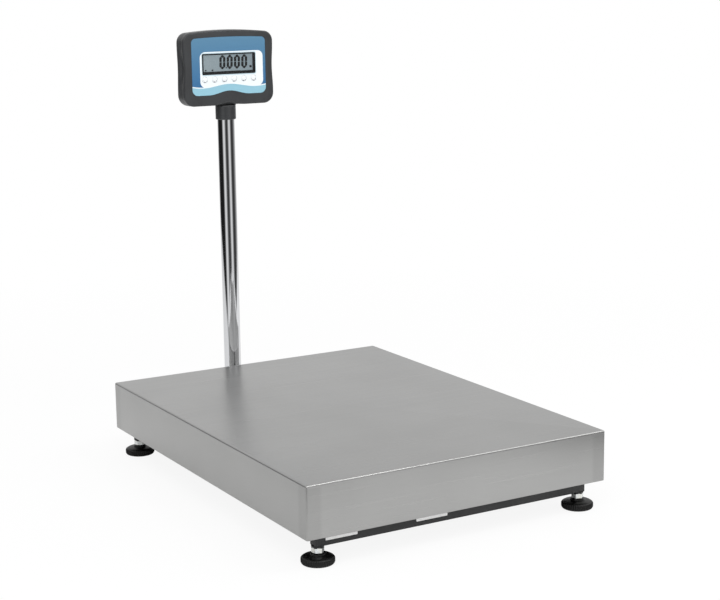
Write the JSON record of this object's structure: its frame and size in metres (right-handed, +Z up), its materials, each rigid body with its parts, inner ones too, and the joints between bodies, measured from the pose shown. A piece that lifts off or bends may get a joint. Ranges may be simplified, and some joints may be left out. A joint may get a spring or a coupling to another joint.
{
  "type": "platform scale",
  "caption": "Floor platform scale: loose stainless pan over a single-point load cell on a steel base with levelling feet, and a tilting digital indicator on a column behind it.",
  "frame": {"origin": "on the floor, in the middle of the footprint of platform and column", "axes": "+Z up, +Y from the platform's front edge towards the column, +X to the right as the display is read"},
  "size_m": [0.6, 0.923, 0.829],
  "materials": {
    "stainless_sheet": "fine brushed",
    "chromed_tube": "polished",
    "black_paint": "satin powder coat",
    "cell_aluminium": "machined",
    "zinc_steel": "zinc plated",
    "black_nylon": "moulded",
    "black_rubber": "matt",
    "grey_abs": "fine texture",
    "overlay_film": "printed film",
    "key_white": "satin",
    "clear_window": "clear",
    "display_green": "satin",
    "board_green": "solder mask",
    "battery_grey": "moulded",
    "level_fluid": "clear"
  },
  "bodies": {
    "base": {"base_bar_front": "black_paint", "base_bar_rear": "black_paint", "base_beam": "black_paint", "lower_spacer": "zinc_steel", "load_cell": "cell_aluminium", "upper_spacer": "zinc_steel", "lower_bolt_outer": "zinc_steel", "lower_bolt_inner": "zinc_steel", "upper_bolt_outer": "zinc_steel", "upper_bolt_inner": "zinc_steel", "spider_spine": "black_paint", "spider_arm_front": "black_paint", "spider_arm_rear": "black_paint", "pan_rubber_front_left": "black_rubber", "pan_rubber_front_right": "black_rubber", "pan_rubber_rear_left": "black_rubber", "pan_rubber_rear_right": "black_rubber", "lock_nut_front_left": "zinc_steel", "lock_nut_front_right": "zinc_steel", "lock_nut_rear_left": "zinc_steel", "lock_nut_rear_right": "zinc_steel", "column_arm": "black_paint", "column_holder": "black_paint", "column_screw_left": "zinc_steel", "column_screw_right": "zinc_steel", "column_tube": "chromed_tube", "level_case": "black_nylon", "level_vial": "level_fluid"},
    "pan": {"pan": "stainless_sheet"},
    "neck": {"neck_socket": "grey_abs", "swivel_screw": "zinc_steel", "tilt_bolt": "zinc_steel"},
    "indicator": {"front_housing": "grey_abs", "rear_housing": "grey_abs", "overlay": "overlay_film", "display_window": "clear_window", "display_module": "display_green", "main_board": "board_green", "battery": "battery_grey", "battery_cover": "grey_abs", "cable_gland": "black_nylon", "charger_inlet": "black_nylon"},
    "button_1": {"key_1": "key_white"},
    "button_2": {"key_2": "key_white"},
    "button_3": {"key_3": "key_white"},
    "button_4": {"key_4": "key_white"},
    "button_5": {"key_5": "key_white"},
    "button_6": {"key_6": "key_white"},
    "sole_front_left": {"foot_sole_front_left": "black_rubber"},
    "wheel_front_left": {"foot_wheel_front_left": "black_nylon", "foot_stem_front_left": "zinc_steel"},
    "sole_front_right": {"foot_sole_front_right": "black_rubber"},
    "wheel_front_right": {"foot_wheel_front_right": "black_nylon", "foot_stem_front_right": "zinc_steel"},
    "sole_rear_left": {"foot_sole_rear_left": "black_rubber"},
    "wheel_rear_left": {"foot_wheel_rear_left": "black_nylon", "foot_stem_rear_left": "zinc_steel"},
    "sole_rear_right": {"foot_sole_rear_right": "black_rubber"},
    "wheel_rear_right": {"foot_wheel_rear_right": "black_nylon", "foot_stem_rear_right": "zinc_steel"}
  },
  "joints": [
    {"name": "pan_lift", "type": "slide", "parent": "base", "child": "pan", "axis": [0, 0, 1], "range_m": [0, 0.12]},
    {"name": "indicator_swivel", "type": "hinge", "parent": "base", "child": "neck", "pos_m": [0, 0.4185, 0.705], "axis": [0, 0, 1], "range_deg": [-170, 170]},
    {"name": "indicator_tilt", "type": "hinge", "parent": "neck", "child": "indicator", "pos_m": [0, 0.4185, 0.705], "axis": [-1, 0, 0], "range_deg": [-5, 45]},
    {"name": "key_1_press", "type": "slide", "parent": "indicator", "child": "button_1", "axis": [0, 1, 0], "range_m": [0, 0.0005], "stiffness_N_per_m": 400, "springref_m": -0.001},
    {"name": "key_2_press", "type": "slide", "parent": "indicator", "child": "button_2", "axis": [0, 1, 0], "range_m": [0, 0.0005], "stiffness_N_per_m": 400, "springref_m": -0.001},
    {"name": "key_3_press", "type": "slide", "parent": "indicator", "child": "button_3", "axis": [0, 1, 0], "range_m": [0, 0.0005], "stiffness_N_per_m": 400, "springref_m": -0.001},
    {"name": "key_4_press", "type": "slide", "parent": "indicator", "child": "button_4", "axis": [0, 1, 0], "range_m": [0, 0.0005], "stiffness_N_per_m": 400, "springref_m": -0.001},
    {"name": "key_5_press", "type": "slide", "parent": "indicator", "child": "button_5", "axis": [0, 1, 0], "range_m": [0, 0.0005], "stiffness_N_per_m": 400, "springref_m": -0.001},
    {"name": "key_6_press", "type": "slide", "parent": "indicator", "child": "button_6", "axis": [0, 1, 0], "range_m": [0, 0.0005], "stiffness_N_per_m": 400, "springref_m": -0.001},
    {"name": "foot_height_front_left", "type": "slide", "parent": "base", "child": "sole_front_left", "axis": [0, 0, -1], "range_m": [0, 0.0175]},
    {"name": "foot_screw_front_left", "type": "hinge", "parent": "sole_front_left", "child": "wheel_front_left", "pos_m": [-0.264, -0.4305, 0.012], "axis": [0, 0, -1], "range_deg": [0, 3601]},
    {"name": "foot_height_front_right", "type": "slide", "parent": "base", "child": "sole_front_right", "axis": [0, 0, -1], "range_m": [0, 0.0175]},
    {"name": "foot_screw_front_right", "type": "hinge", "parent": "sole_front_right", "child": "wheel_front_right", "pos_m": [0.264, -0.4305, 0.012], "axis": [0, 0, -1], "range_deg": [0, 3601]},
    {"name": "foot_height_rear_left", "type": "slide", "parent": "base", "child": "sole_rear_left", "axis": [0, 0, -1], "range_m": [0, 0.0175]},
    {"name": "foot_screw_rear_left", "type": "hinge", "parent": "sole_rear_left", "child": "wheel_rear_left", "pos_m": [-0.264, 0.3075, 0.012], "axis": [0, 0, -1], "range_deg": [0, 3601]},
    {"name": "foot_height_rear_right", "type": "slide", "parent": "base", "child": "sole_rear_right", "axis": [0, 0, -1], "range_m": [0, 0.0175]},
    {"name": "foot_screw_rear_right", "type": "hinge", "parent": "sole_rear_right", "child": "wheel_rear_right", "pos_m": [0.264, 0.3075, 0.012], "axis": [0, 0, -1], "range_deg": [0, 3601]}
  ],
  "couplings": [
    {"joint": "foot_screw_front_left", "follows": "foot_height_front_left", "rad_per_m": 3590.4},
    {"joint": "foot_screw_front_right", "follows": "foot_height_front_right", "rad_per_m": 3590.4},
    {"joint": "foot_screw_rear_left", "follows": "foot_height_rear_left", "rad_per_m": 3590.4},
    {"joint": "foot_screw_rear_right", "follows": "foot_height_rear_right", "rad_per_m": 3590.4}
  ]
}
